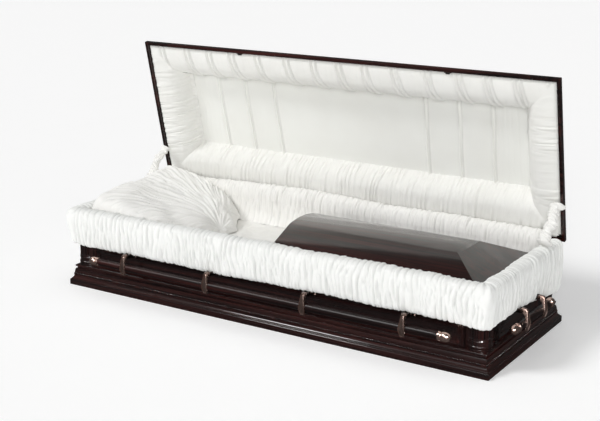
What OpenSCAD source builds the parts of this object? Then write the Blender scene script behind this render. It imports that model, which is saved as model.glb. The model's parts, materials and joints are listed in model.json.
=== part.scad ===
// Full-couch hardwood burial casket, lid held open by its stays.
// Millimetres. The origin is the middle of the underside, +X runs towards the
// foot end, +Y towards the hinge side, +Z up.
// Every section is drawn as [inset from the outer edge, height].

/* [Case] */
// Length of the case over its base moulding
case_l = 2134; // [1800:1:2500]
// Width of the case over its base moulding
case_w = 750; // [640:1:860]
// Height of the rim that the lid closes on
rim_z = 349; // [330:1:460]
// Height of the base moulding
base_h = 96; // [90:1:120]
// Inset of the wall panels' face from the edge of the base moulding
face_in = 38; // [34:1:44]
// Thickness of the wall panels
wall_t = 22; // [18:1:28]
// Thickness of the bottom board
board_t = 18; // [12:1:24]
// Height of the rail that carries the rim
rail_h = 59; // [50:1:66]
// Inset of the rail's outer band
rail_in = 12; // [10:1:16]
// Depth of the sunk fields in the wall panels
field_deep = 8; // [4:1:10]
// Height of the flat band between the lower and the upper field
band_h = 38; // [36:1:44]

/* [Corner posts] */
// Radius of the reeded column shaft
column_r = 47.5; // [42:0.5:50]
// Inset of the column's centre from both faces
column_in = 73; // [70:1:78]
// Number of reeds round a whole column
reed_count = 24; // [16:1:30]
// Reach of a post along the long sides, from the moulding's end
post_side = 141; // [135:1:170]
// Reach of a post along the short ends, from the moulding's side
post_end = 175; // [140:1:200]

/* [Lid] */
// Gap left between the rim and the closed lid
lid_gap = 2; // [1:0.5:4]
// Inset of the lid's edge from the end of the case
lid_end_in = 6; // [4:1:12]
// Inset of the lid's edge from the side of the case
lid_side_in = 10; // [8:1:16]
// Width of the wooden edge that shows round the lining
edge_w = 15; // [12:1:20]
// Height of the lid's edge frame
edge_h = 34; // [32:1:40]
// Height of the lid's crown above its edge plane
crown_h = 186; // [175:1:220]
// Thickness of the crown boards
crown_t = 12; // [8:1:14]
// Angle that the lid opens to
lid_open = 78; // [60:1:95]
// Width of the padded border in the lid
border_w = 174; // [150:1:185]
// Depth of the lid's centre panel behind the edge plane
dish_deep = 100; // [80:1:104]
// Places of the two catches along the front edge of the lid
catch_x = [-500, 566];

/* [Hinge] */
// Distance of the hinge pin behind the lid's edge
pin_out = 6.5; // [6.5:0.5:8]
// Depth of the hinge pin below the lid's edge plane
pin_down = 8; // [8:0.5:10]
// Radius of the hinge knuckles
knuckle_r = 6; // [5:0.5:6]
// Radius of the hinge pin
pin_r = 2.5; // [2:0.5:3]
// Length of the hinge
hinge_l = 1900; // [1500:10:2000]
// Number of knuckles along the hinge
knuckle_count = 20; // [10:2:40]

/* [Foot cover] */
// Length of the domed cover over the foot half
cover_l = 1004; // [900:1:1010]
// Depth of the ledge that the cover rests on, below the rim
ledge_down = 53; // [49:1:79]
// Height of the cover's crown above the ledge
cover_h = 103; // [90:1:125]
// Thickness of the cover
cover_t = 10; // [6:1:14]

/* [Bedding] */
// Height of the bed's top
bed_z = 235; // [200:1:260]
// Height of the pillow's high side above the bed
pillow_h = 205; // [150:1:210]
// Length of the pillow along the casket
pillow_l = 584; // [400:1:620]
// Thickness of the cloth lining on the inner walls
lining_t = 6; // [4:1:8]
// Height of the outer cloth's hem
hem_z = 208; // [206:1:240]

/* [Handles] */
// Height of the handle bars' centre
bar_z = 147; // [140:1:150]
// Distance of the bars' centre from the wall panels' face
bar_out = 55; // [50:1:60]
// Radius of the wooden bars
bar_r = 18; // [14:0.5:19]
// Half length of a long bar over its tips
long_half = 915; // [800:1:960]
// Half length of a short bar over its tips
short_half = 207; // [180:1:230]
// Places of the arms along a long bar, from its middle
long_arms = [248, 709];
// Place of the arms along a short bar, from its middle
short_arm = 88; // [70:1:110]
// Length of a bar's metal tip
tip_l = 53; // [45:1:60]
// Height of the arms' pivots
pivot_z = 197; // [195:1:198]
// Distance of the pivots from the wall panels' face
pivot_out = 45; // [42:1:48]
// Width of an arm at its widest
arm_w = 31; // [26:1:36]
// Length of an arm
arm_l = 94; // [90:1:96]

/* [Hidden] */
$fn = 64;
FIT = 0.1;
SEAT = 0.3;
CUT = 1;

// The case
half_l = case_l / 2;
half_w = case_w / 2;
inner_in = face_in + wall_t;
inner_l = case_l - 2 * inner_in;
inner_w = case_w - 2 * inner_in;
rail_z = rim_z - rail_h;
ledge_z = rim_z - ledge_down;
low_field_z = base_h + 10;
low_field_top = pivot_z - 21;
high_field_z = low_field_top + band_h;
high_field_top = rail_z - 8;

// The closed lid stands on this plane
lid_z = rim_z + lid_gap;
lid_l = case_l - 2 * lid_end_in;
lid_w = case_w - 2 * lid_side_in;
hinge_y = lid_w / 2 + pin_out;
hinge_z = lid_z - pin_down;
border_back = dish_deep + 12;

// The inner space
clear_l = inner_l - 2 * (lining_t + SEAT);
clear_w = inner_w - 2 * (lining_t + SEAT);
ledge_w = 26;
ledge_t = 12;
cover_w = clear_w - 2 * 10;
cover_end = clear_l / 2 - 7;

// The sleeves of the lid's stays, each end given from the hinge pin
sleeve_r = 13;
sleeve_x = half_l - 27;
sleeve_low = [hinge_y - 171.5, hinge_z + 45];
sleeve_high = [hinge_y - 41.5, hinge_z + 177];

WOOD = [0.16, 0.07, 0.06];
CLOTH = [0.95, 0.94, 0.91];
COPPER = [0.62, 0.42, 0.34];
STEEL = [0.25, 0.24, 0.23];

// ---- section and shape helpers ----

function arc(c, r, a0, a1, n) = [
  for (i = [0:n]) let (a = a0 + (a1 - a0) * i / n) c + r * [cos(a), sin(a)]
];

// A low arch that rises from a and is level at b, without its first point
arch_steps = 7;
function low_arch(a, b) = [
  for (i = [1:arch_steps]) let (u = 1 - i / arch_steps)
    [b[0] - (b[0] - a[0]) * u, b[1] - (b[1] - a[1]) * u * u]
];

function right_normal(a, b) = [b[1] - a[1], a[0] - b[0]] / norm(b - a);

// A line of points moved by s to its right, with mitred corners
function moved_line(p, s) = [
  for (i = [0:len(p) - 1])
    let (n0 = right_normal(p[max(i - 1, 0)], p[max(i, 1)]))
    let (n1 = right_normal(p[min(i, len(p) - 2)], p[min(i + 1, len(p) - 1)]))
    p[i] + s * (n0 + n1) / (1 + n0 * n1)
];

// The inside of a dome's boards, which ends on the dome's middle line
function inner_line(p, s, middle) = [for (q = moved_line(p, s)) [min(q[0], middle), q[1]]];

function reversed(p) = [for (i = [len(p) - 1:-1:0]) p[i]];

// Both edges of a symmetrical section of the given width
function both_edges(width, section) = concat(
  [for (q = section) [width / 2 - q[0], q[1]]],
  [for (q = reversed(section)) [q[0] - width / 2, q[1]]]
);

module along_x(l) {
  rotate([90, 0, 90]) linear_extrude(l, center = true) children();
}

module along_y(l) {
  rotate([90, 0, 0]) linear_extrude(l, center = true) children();
}

// A block whose four sides follow one section, with mitred corners
module moulded_block(l, w, section) {
  intersection() {
    along_x(l + 2 * CUT) polygon(both_edges(w, section));
    along_y(w + 2 * CUT) polygon(both_edges(l, section));
  }
}

module centred_box(l, w, z0, z1) {
  translate([-l / 2, -w / 2, z0]) cube([l, w, z1 - z0]);
}

// ---- base, walls and rail ----

base_section = concat(
  [[0, 0]],
  arc([6, 22], 6, 180, 90, 5),
  arc([-1, 45], 16, -62, 0, 6),
  [[15, 48], [17, 48]],
  [for (i = [1:6]) [17 + 4 * pow(i / 6, 3), 48 + (base_h - 68) * i / 6]],
  [[27, base_h - 19], [27, base_h - 12]],
  arc([26, base_h - 6], 5.5, 260, 100, 8),
  [[30, base_h]]
);

module base_moulding() {
  color(WOOD) difference() {
    moulded_block(case_l, case_w, base_section);
    centred_box(inner_l, inner_w, -CUT, base_h + CUT);
  }
}

module bottom_board() {
  color(WOOD) centred_box(inner_l, inner_w, 0, board_t);
}

// The hollow of a sunk field: an ogee runs round its edge
field_in = 12;
field_section = [[0, -CUT], [0, 1.5], [3, 2.5], [5, 4], [9, field_deep * 0.8], [14, field_deep]];

module sunk_field(l, z0, z1) {
  h = z1 - z0;
  translate([0, 0, (z0 + z1) / 2]) intersection() {
    linear_extrude(h, center = true) polygon(both_edges(l, field_section));
    rotate([0, 90, 0]) linear_extrude(l, center = true) polygon(both_edges(h, field_section));
  }
}

// A wall panel, its face at y = 0 and its back at y = wall_t
module wall_panel(l) {
  color(WOOD) difference() {
    translate([-l / 2, 0, base_h]) cube([l, wall_t, rail_z - base_h]);
    sunk_field(l - 2 * field_in, low_field_z, low_field_top);
    sunk_field(l - 2 * field_in, high_field_z, high_field_top);
  }
}

// Turns a piece that faces -Y to the named side of the case
module on_side(side) {
  if (side == "front") translate([0, face_in - half_w, 0]) children();
  if (side == "rear") translate([0, half_w - face_in, 0]) rotate(180) children();
  if (side == "head") translate([face_in - half_l, 0, 0]) rotate(-90) children();
  if (side == "foot") translate([half_l - face_in, 0, 0]) rotate(90) children();
}

rail_section = concat(
  [[face_in - 2, rail_z], [face_in - 2, rail_z + 6]],
  arc([rail_in + 2, rail_z + 8], face_in - rail_in - 6, 0, 80, 6),
  [[rail_in, rail_z + 30], [rail_in, rim_z - 4], [rail_in + 3, rim_z]]
);

module top_rail() {
  color(WOOD) difference() {
    moulded_block(case_l, case_w, rail_section);
    centred_box(inner_l, inner_w, rail_z - CUT, rim_z + CUT);
  }
}

// ---- corner posts ----

// A round moulding of outer radius r and height h, its foot at z
module torus_band(r, z, h) {
  translate([0, 0, z]) rotate_extrude() {
    square([r - h / 2, h]);
    translate([r - h / 2, h / 2]) circle(h / 2);
  }
}

module reeded_column() {
  reed_r = PI * column_r / reed_count * 0.85;
  collar_h = 50;
  translate([0, 0, base_h]) cylinder(h = rail_z - base_h, r = column_r - reed_r * 0.75);
  for (i = [0:reed_count - 1])
    rotate(360 * (i + 0.5) / reed_count) translate([column_r - reed_r, 0, base_h + 1])
      cylinder(h = rail_z - base_h - 2, r = reed_r, $fn = 24);
  for (end = [0, 1]) translate([0, 0, end * (base_h + rail_z)]) mirror([0, 0, end]) {
    translate([0, 0, base_h]) cylinder(h = collar_h, r = column_r + 1);
    translate([0, 0, base_h]) cylinder(h = 7, r = column_r + 4);
    torus_band(column_r + 4.2, base_h + 9, 14);
    torus_band(column_r + 2.5, base_h + 32, 12);
  }
}

// The post of the front foot corner
module corner_post() {
  color(WOOD) difference() {
    union() {
      translate([half_l - column_in, column_in - half_w, 0]) reeded_column();
      translate([half_l - post_side, face_in - 2 - half_w, 0]) pilaster(post_side - column_in);
      translate([half_l - face_in + 2, post_end - half_w, 0])
        mirror([1, 1, 0]) pilaster(post_end - column_in);
    }
    centred_box(inner_l, inner_w, 0, rim_z);
  }
}

// A flat strip beside the column with two sunk lines near its free edge
module pilaster(l) {
  h = rail_z - base_h;
  line_w = 3;
  line_in = 14;
  difference() {
    translate([0, 0, base_h]) cube([l, wall_t + 2, h]);
    for (x = [7, 16])
      translate([x, -CUT, base_h + line_in]) cube([line_w, CUT + 2, h - 2 * line_in]);
  }
}

// ---- bedding and cloth ----

module mattress() {
  color(CLOTH) moulded_block(clear_l - 2, clear_w - 2, [
    [4, board_t + SEAT], [0, board_t + 14], [0, bed_z - 20], [3, bed_z - 9], [10, bed_z - 2], [22, bed_z]
  ]);
}

module pillow() {
  x0 = -clear_l / 2 + 14;
  z0 = bed_z + SEAT;
  w = clear_w - 20;
  slope_end = 0.36 * pillow_h;
  side = concat(
    [[x0 + 14, z0], [x0 + 2, z0 + 22], [x0, z0 + 60]],
    arc([x0 + 34, z0 + pillow_h - 34], 34, 180, 80, 6),
    [[x0 + pillow_l - 90, z0 + slope_end + 6]],
    arc([x0 + pillow_l - 40, z0 + 40], 40, 60, -40, 6),
    [[x0 + pillow_l - 20, z0]]
  );
  across = concat(
    [[16, 0], [3, 24], [0, 56]],
    [for (i = [0:6]) [70 * (1 - cos(15 * i)), pillow_h - 70 + 70 * sin(15 * i)]],
    [[w / 2 - 1, pillow_h + 2]]
  );
  color(CLOTH) intersection() {
    along_y(w + 2) polygon(side);
    translate([x0 + pillow_l / 2, 0, z0]) along_x(pillow_l + 2) polygon(both_edges(w, across));
  }
}

// Lining on the inner walls, let out where the ledge crosses it
module side_lining() {
  color(CLOTH) difference() {
    centred_box(inner_l - 2 * SEAT, inner_w - 2 * SEAT, bed_z - 25, rim_z - SEAT);
    centred_box(clear_l, clear_w, 0, rim_z + CUT);
    ledge_block(SEAT, 2 * CUT);
  }
}

// The ledge's outside, grown by g all round
module ledge_block(g, out) {
  x0 = cover_end - cover_l;
  translate([x0 - g, -inner_w / 2 - out, ledge_z - ledge_t - g])
    cube([inner_l / 2 - x0 + g + out, inner_w + 2 * out, ledge_t + 2 * g]);
}

module cover_ledge() {
  x0 = cover_end - cover_l;
  color(WOOD) difference() {
    ledge_block(0, 0);
    translate([x0 - CUT, -inner_w / 2 + ledge_w, 0])
      cube([inner_l / 2 - x0 + CUT - ledge_w, inner_w - 2 * ledge_w, rim_z]);
  }
}

// Cloth thrown over the rim on the front and both ends. It stops short of the
// rear edge, where the lid swings
throw_back = 24;
throw_inner = 68;
roll_section = [
  [5, rim_z + SEAT], [3, rim_z + 8], [6, rim_z + 18], [14, rim_z + 25], [27, rim_z + 29],
  [throw_inner, rim_z + 29]
];

module throw_roll() {
  open_l = case_l - 2 * throw_inner;
  color(CLOTH) difference() {
    moulded_block(case_l, case_w, roll_section);
    centred_box(open_l, case_w - 2 * throw_inner, 0, 2 * rim_z);
    behind_throw();
    translate([-open_l / 2, 0, 0]) cube([open_l, case_w, 2 * rim_z]);
  }
}

module behind_throw() {
  translate([-half_l - CUT, half_w - throw_back, 0]) cube([case_l + 2 * CUT, half_w, 2 * rim_z]);
}

// The skirt from its hem to the rim, moved in by s and run on by over at both ends
function skirt_line(s, over) =
  let (h = rim_z - SEAT - hem_z)
  [
    [17 + s, hem_z - over], [10 + s, hem_z + 0.3 * h], [4 + s, hem_z + 0.6 * h],
    [2 + s, hem_z + 0.8 * h], [4 + s, hem_z + h + over]
  ];

module throw_skirt() {
  thick = 6;
  color(CLOTH) difference() {
    moulded_block(case_l, case_w, skirt_line(0, 0));
    moulded_block(case_l, case_w, skirt_line(thick, CUT));
    behind_throw();
  }
}

// Gathered cloth that hides the hinge from inside
module hinge_apron() {
  y1 = half_w - rail_in - 1;
  y0 = inner_w / 2 - 9;
  z = rim_z + SEAT;
  color(CLOTH) along_x(case_l - 2 * (throw_inner + 3)) polygon([
    [y0, z], [y0 - 4, z + 12], [y0 + 3, z + 29], [y0 + 15, z + 43], [y0 + 31, z + 53],
    [y1 - 11, z + 57], [y1 - 2, z + 50], [y1, z]
  ]);
}

// ---- lid, drawn closed and turned open about its hinge ----

module opened() {
  translate([0, hinge_y, hinge_z]) rotate([-lid_open, 0, 0]) translate([0, -hinge_y, -hinge_z])
    translate([0, 0, lid_z]) children();
}

edge_section = [
  [1, 0], [0, 1], [0, 19], [2, 21], [5, 21.5], [5, 25], [7, 27], [10, 29], [12, edge_h]
];

// The crown rises in a cove, a long slope, a narrow band and a low arch
crown_half = lid_w / 2;
slope_top = [190, crown_h - 44];
band_top = [222, crown_h - 27];
crown_section = concat(
  [[12, edge_h], [14, edge_h + 10], [19, edge_h + 19], [28, edge_h + 27], [40, edge_h + 33]],
  [slope_top, band_top],
  low_arch(band_top, [crown_half, crown_h])
);

module lid_edge() {
  color(WOOD) opened() difference() {
    moulded_block(lid_l, lid_w, edge_section);
    centred_box(lid_l - 2 * edge_w, lid_w - 2 * edge_w, -CUT, 22);
    centred_box(lid_l - 2 * (crown_t + 15), lid_w - 2 * (crown_t + 15), 0, edge_h + CUT);
  }
}

module lid_crown() {
  inner = inner_line(crown_section, crown_t, crown_half);
  hollow = concat([[inner[0][0], edge_h - CUT]], [for (q = inner) if (q[1] > edge_h) q]);
  color(WOOD) opened() difference() {
    moulded_block(lid_l, lid_w, crown_section);
    moulded_block(lid_l, lid_w, hollow);
  }
}

// The padded border, from the wooden edge to the centre panel
border_section = concat(
  [[edge_w + SEAT, 21.5], [edge_w + SEAT, 20], [22, 14], [34, 6.5], [55, 2], [85, 1], [115, 5]],
  [[140, 20], [158, 45], [border_w - 4, 75], [border_w, dish_deep]],
  [[border_w, border_back], [110, 84], [60, 58], [40, 46], [30, 36], [crown_t + 15 + SEAT, 21.5]]
);

// One length of the border, with mitred ends, facing -Y at the front edge
module border_length(l, w) {
  reach = border_w + 2;
  intersection() {
    along_x(l) translate([-w / 2, 0]) polygon(border_section);
    linear_extrude(border_back + 2) polygon([
      [-l / 2 + SEAT, -w / 2], [l / 2 - SEAT, -w / 2],
      [l / 2 - SEAT - reach, -w / 2 + reach], [-l / 2 + SEAT + reach, -w / 2 + reach]
    ]);
  }
}

module lid_roll(side) {
  color(CLOTH) opened() {
    if (side == "front") border_length(lid_l, lid_w);
    if (side == "rear") rotate(180) border_length(lid_l, lid_w);
    if (side == "head") rotate(-90) border_length(lid_w, lid_l);
    if (side == "foot") rotate(90) border_length(lid_w, lid_l);
  }
}

module lid_lining_panel() {
  g = border_w + SEAT;
  color(CLOTH) opened() centred_box(lid_l - 2 * g, lid_w - 2 * g, dish_deep, border_back - 2);
}

module catch(x) {
  out = lid_w / 2 - edge_w;
  color(STEEL) opened() translate([x, -out, 0]) {
    translate([-17, 0, 3]) cube([34, 4, 9]);
    translate([-9, 0, 0.5]) cube([18, 9, 8]);
  }
}

// ---- hinge ----

module knuckles(first) {
  pitch = hinge_l / knuckle_count;
  for (i = [first:2:knuckle_count - 1])
    translate([-hinge_l / 2 + i * pitch + SEAT, 0, 0]) rotate([0, 90, 0])
      cylinder(h = pitch - 2 * SEAT, r = knuckle_r, $fn = 32);
}

module knuckle_necks(first, y0, y1, z0, z1) {
  pitch = hinge_l / knuckle_count;
  for (i = [first:2:knuckle_count - 1])
    translate([-hinge_l / 2 + i * pitch + SEAT, y0, z0]) cube([pitch - 2 * SEAT, y1 - y0, z1 - z0]);
}

leaf_t = 2;

module hinge_case_leaf() {
  face = half_w - rail_in;
  color(STEEL) {
    translate([-hinge_l / 2, face, hinge_z - 20]) cube([hinge_l, leaf_t, 20]);
    knuckle_necks(0, face, hinge_y, hinge_z - 5, hinge_z);
    translate([0, hinge_y, hinge_z]) {
      knuckles(0);
      translate([-hinge_l / 2 + SEAT, 0, 0]) rotate([0, 90, 0])
        cylinder(h = hinge_l - 2 * SEAT, r = pin_r, $fn = 32);
    }
  }
}

module hinge_lid_leaf() {
  edge = lid_w / 2;
  color(STEEL) opened() translate([0, 0, -lid_z]) {
    difference() {
      union() {
        translate([-hinge_l / 2, edge, lid_z + 1]) cube([hinge_l, leaf_t, 18]);
        knuckle_necks(1, edge, hinge_y, hinge_z, lid_z + 3);
        translate([0, hinge_y, hinge_z]) knuckles(1);
      }
      translate([-hinge_l / 2 - CUT, hinge_y, hinge_z]) rotate([0, 90, 0])
        cylinder(h = hinge_l + 2 * CUT, r = pin_r + FIT, $fn = 32);
    }
  }
}

// ---- stays ----

module stay_sleeve(way) {
  d = sleeve_high - sleeve_low;
  color(CLOTH) translate([way * sleeve_x, sleeve_low[0], sleeve_low[1]])
    rotate([-atan2(d[0], d[1]), 0, 0]) cylinder(h = norm(d), r = sleeve_r);
}

// ---- foot cover ----

cover_half = cover_w / 2;
cover_slope = [163, cover_h - 27];
cover_band = [196, cover_h - 12.5];
cover_section = concat(
  [[0, 0], [0, 5], cover_slope, cover_band],
  low_arch(cover_band, [cover_half, cover_h])
);

// The dome of the cover: one hipped end, one end cut square at x0
module cover_dome(section, x0, z0) {
  end_line = [for (q = section) [cover_end - q[0], q[1]]];
  top = section[len(section) - 1][1];
  translate([0, 0, ledge_z]) intersection() {
    along_x(case_l) polygon(both_edges(cover_w, section));
    along_y(case_w) polygon(concat([[x0, z0]], end_line, [[x0, top]]));
  }
}

module foot_cover() {
  x0 = cover_end - cover_l;
  inner = inner_line(cover_section, cover_t, cover_half);
  hollow = concat([[cover_t, -CUT]], [for (q = inner) if (q[1] > 0) q]);
  color(WOOD) difference() {
    cover_dome(cover_section, x0, 0);
    cover_dome(hollow, x0 + cover_t, -CUT);
  }
}

// ---- handles, drawn facing -Y with the wall panel's face at y = 0 ----

// A bar turned about its own axis with a collared, domed tip on each end
module bar(half) {
  tip_r = bar_r + 2.5;
  start = half - tip_l;
  dome = [for (i = [0:8]) [i == 8 ? 0 : tip_r * cos(90 * i / 8), half - 18 + 18 * sin(90 * i / 8)]];
  edge = concat(
    [[bar_r, start], [tip_r, start + 1], [tip_r, start + 9], [tip_r - 1.5, start + 10.5]],
    [[tip_r - 1.5, start + 13], [tip_r, start + 14.5]], dome
  );
  color(COPPER) translate([0, -bar_out, bar_z]) rotate([0, 90, 0]) rotate_extrude()
    polygon(concat(edge, [for (q = reversed(edge)) [q[0], -q[1]]]));
}

pin_ear_r = 4;

// A round bar along X that reaches as far to both sides
module cross_pin(out, z, half_reach, r) {
  translate([0, -out, z]) rotate([0, 90, 0]) cylinder(h = 2 * half_reach, r = r, center = true);
}

// A lozenge seen from the front, an eyed link seen from the side
module arm() {
  top = pivot_z + 10;
  low = top - arm_l;
  wide = arm_w / 2;
  color(COPPER) difference() {
    intersection() {
      along_y(4 * bar_out) polygon([
        [-5, top], [5, top], [wide, bar_z + 2], [wide, bar_z - 8],
        [7, low], [-7, low], [-wide, bar_z - 8], [-wide, bar_z + 2]
      ]);
      along_x(arm_w) union() {
        translate([-pivot_out, pivot_z]) circle(9);
        translate([-bar_out, bar_z]) circle(bar_r + 5);
        polygon([
          [-pivot_out - 8, pivot_z + 2], [-bar_out - bar_r - 4, bar_z + 8],
          [-bar_out - bar_r - 5, bar_z - 6],
          [-bar_out - 11, low], [-bar_out - 4, low], [-bar_out + 8, bar_z - bar_r],
          [-bar_out + bar_r + 3, bar_z + 8], [-pivot_out + 8, pivot_z - 4]
        ]);
      }
    }
    cross_pin(bar_out, bar_z, arm_w, bar_r + FIT);
    cross_pin(pivot_out, pivot_z, arm_w, pin_ear_r + FIT);
  }
}

// A plate on the wall with two lugs and the pin that the arm swings on
module ear() {
  lug_x = 9;
  lug_t = 5;
  lug_r = 8;
  plate_half = 30;
  plate_t = 4;
  color(COPPER) {
    translate([0, -plate_t / 2, pivot_z]) along_y(plate_t) polygon([
      [-plate_half, -14], [-plate_half + 6, -17], [plate_half - 6, -17], [plate_half, -14],
      [plate_half, -3], [plate_half - 10, 10], [10 - plate_half, 10], [-plate_half, -3]
    ]);
    for (x = [-lug_x - lug_t, lug_x]) {
      translate([x, -pivot_out, pivot_z - lug_r]) cube([lug_t, pivot_out - plate_t + CUT, 2 * lug_r]);
      translate([x, -pivot_out, pivot_z]) rotate([0, 90, 0]) cylinder(h = lug_t, r = lug_r);
    }
    cross_pin(pivot_out, pivot_z, lug_x + lug_t, pin_ear_r);
  }
}

long_places = [-long_arms[1], -long_arms[0], long_arms[0], long_arms[1]];
short_places = [-short_arm, short_arm];

// ---- the nodes ----

bottom_board();
base_moulding();
on_side("front") wall_panel(case_l - 2 * post_side);  // front_side
on_side("rear") wall_panel(case_l - 2 * post_side);  // rear_side
on_side("head") wall_panel(case_w - 2 * post_end);  // head_end
on_side("foot") wall_panel(case_w - 2 * post_end);  // foot_end
mirror([1, 0, 0]) corner_post();  // post_front_head
corner_post();  // post_front_foot
rotate(180) corner_post();  // post_rear_head
mirror([0, 1, 0]) corner_post();  // post_rear_foot
top_rail();
mattress();
pillow();
side_lining();
foot_cover();
cover_ledge();
throw_roll();
throw_skirt();
hinge_apron();
lid_edge();
lid_crown();
lid_lining_panel();
for (side = ["front", "rear", "head", "foot"]) {
  lid_roll(side);
  half = side == "front" || side == "rear" ? long_half : short_half;
  places = side == "front" || side == "rear" ? long_places : short_places;
  on_side(side) bar(half);
  for (i = [0:len(places) - 1]) {
    on_side(side) translate([places[i], 0, 0]) arm();
    on_side(side) translate([places[i], 0, 0]) ear();
  }
}
catch(catch_x[0]);  // catch_head
catch(catch_x[1]);  // catch_foot
hinge_case_leaf();
hinge_lid_leaf();
stay_sleeve(-1);  // stay_sleeve_head
stay_sleeve(1);  // stay_sleeve_foot
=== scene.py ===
"""Looks of a full-couch hardwood casket: polished dark wood, copper-plated
handles and a gathered white crepe interior. Metres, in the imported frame."""

import json
import math

import bmesh
import bpy
import numpy as np
from mathutils import Euler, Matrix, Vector

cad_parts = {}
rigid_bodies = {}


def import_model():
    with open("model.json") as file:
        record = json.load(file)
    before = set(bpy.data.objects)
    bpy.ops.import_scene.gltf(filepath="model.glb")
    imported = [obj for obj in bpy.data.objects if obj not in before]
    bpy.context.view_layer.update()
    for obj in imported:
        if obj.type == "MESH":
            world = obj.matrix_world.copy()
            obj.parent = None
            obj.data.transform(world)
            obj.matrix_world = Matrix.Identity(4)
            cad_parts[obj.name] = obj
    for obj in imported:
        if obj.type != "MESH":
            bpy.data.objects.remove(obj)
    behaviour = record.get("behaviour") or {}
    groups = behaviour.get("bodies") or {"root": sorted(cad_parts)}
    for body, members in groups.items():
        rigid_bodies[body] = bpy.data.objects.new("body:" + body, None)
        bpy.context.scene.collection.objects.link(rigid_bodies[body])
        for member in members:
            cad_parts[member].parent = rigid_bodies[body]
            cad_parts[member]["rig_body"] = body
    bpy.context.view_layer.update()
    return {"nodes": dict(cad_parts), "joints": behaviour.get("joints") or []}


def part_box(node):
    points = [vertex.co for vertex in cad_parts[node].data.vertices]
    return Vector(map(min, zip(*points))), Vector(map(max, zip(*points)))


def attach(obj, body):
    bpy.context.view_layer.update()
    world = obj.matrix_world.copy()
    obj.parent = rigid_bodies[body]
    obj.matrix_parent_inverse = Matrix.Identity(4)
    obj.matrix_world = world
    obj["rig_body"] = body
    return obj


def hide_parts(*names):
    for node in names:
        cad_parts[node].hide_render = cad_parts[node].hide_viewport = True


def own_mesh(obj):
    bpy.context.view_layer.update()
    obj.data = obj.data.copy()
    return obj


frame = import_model()

# ---- sizes read from the frame ----

HALF_L, HALF_W, BASE_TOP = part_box("base_moulding")[1]
INNER_L, INNER_W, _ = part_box("bottom_board")[1]
RIM_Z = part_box("top_rail")[1].z
BED_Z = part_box("mattress")[1].z
LID_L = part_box("lid_edge")[1].x
JOINTS = {joint["name"]: joint for joint in frame["joints"]}
LID_OPEN = math.radians(JOINTS["lid_hinge"]["range_deg"][1])
HINGE_Y, HINGE_Z = JOINTS["lid_hinge"]["pos_m"][1:]
PIN_OUT = 0.0065
LID_W = HINGE_Y - PIN_OUT
LID_Z = RIM_Z + 0.002
SEAM_Z = RIM_Z + 0.0003
WALL_FACE_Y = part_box("front_side")[0].y
WALL_FACE_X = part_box("foot_end")[1].x


# ---- shapes of cloth ----


def ease(low, high, x):
    """0 below low, 1 above high and smooth between them."""
    t = np.clip((x - low) / (high - low), 0, 1)
    return t * t * (3 - 2 * t)


def wander(x, y, seed):
    """Smooth seeded noise from -1 to 1 over a plane, one bump to a unit."""
    size = 64
    table = np.random.default_rng(seed).uniform(-1, 1, (size, size))
    i, j = np.floor(x).astype(int), np.floor(y).astype(int)
    fx, fy = ease(0, 1, x - i), ease(0, 1, y - j)
    i, j, k, m = i % size, j % size, (i + 1) % size, (j + 1) % size
    near = table[i, j] * (1 - fx) + table[k, j] * fx
    far = table[i, m] * (1 - fx) + table[k, m] * fx
    return near * (1 - fy) + far * fy


def gathers(u, v, pitch, seed, stray=0.5, sharp=0.8):
    """Height, from 0 to about 1, of soft folds that run along v, a pitch apart along u."""
    phase = u / pitch + stray * wander(u / (2.5 * pitch), v / (3 * pitch), seed)
    broad = np.abs(np.sin(math.pi * phase)) ** sharp
    phase = 1.7 * u / pitch + stray * wander(u / (1.5 * pitch), v / (2 * pitch), seed + 1)
    narrow = np.abs(np.sin(math.pi * phase)) ** sharp
    share = 0.5 + 0.5 * wander(u / (3 * pitch), v / (4 * pitch), seed + 2)
    return broad * (0.45 + 0.55 * share) + 0.5 * narrow * (1 - share)


def creases(u, v, pitch, length, seed):
    """Height, from 0 to about 1, of uneven puffs parted by creases that run along v."""
    drift = 0.5 * wander(u / (5 * pitch), v / length, seed + 1)
    broad = np.abs(wander(2 * u / pitch + drift, v / length + 9.0, seed)) ** 0.65
    narrow = np.abs(wander(4.1 * u / pitch - drift, 1.7 * v / length, seed + 2)) ** 0.65
    return broad + 0.35 * narrow


def smooth_line(knots, count):
    """Points evenly spaced along a smooth curve through the knots, and its right-hand normals."""
    given = np.array(knots, float)
    ends = np.vstack([2 * given[0] - given[1], given, 2 * given[-1] - given[-2]])
    t = np.linspace(0, 1, 24, endpoint=False)[:, None]
    dense = [
        0.5 * (2 * b + (c - a) * t + (2 * a - 5 * b + 4 * c - d) * t**2 + (3 * b - a - 3 * c + d) * t**3)
        for a, b, c, d in zip(ends, ends[1:], ends[2:], ends[3:])
    ]
    dense = np.vstack([*dense, given[-1:]])
    along = np.concatenate([[0], np.cumsum(np.linalg.norm(np.diff(dense, axis=0), axis=1))])
    at = np.linspace(0, along[-1], count)
    line = np.stack([np.interp(at, along, dense[:, k]) for k in (0, 1)], axis=1)
    way = np.gradient(line, axis=0)
    way /= np.linalg.norm(way, axis=1)[:, None]
    return line, np.stack([way[:, 1], -way[:, 0]], axis=1), at


def opened(points):
    """Points of the closed lid turned to where it stands open."""
    y, z = points[..., 1] - HINGE_Y, points[..., 2] - HINGE_Z
    c, s = math.cos(LID_OPEN), math.sin(LID_OPEN)
    return np.stack([points[..., 0], HINGE_Y + y * c + z * s, HINGE_Z - y * s + z * c], axis=-1)


# ---- meshes ----


def mesh_of(name, points, faces, edges=()):
    mesh = bpy.data.meshes.new(name)
    mesh.from_pydata(np.array(points, float).reshape(-1, 3).tolist(), list(edges), faces)
    return mesh


def in_scene(name, data):
    """A new object in the scene."""
    thing = bpy.data.objects.new(name, data)
    bpy.context.scene.collection.objects.link(thing)
    return thing


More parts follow.
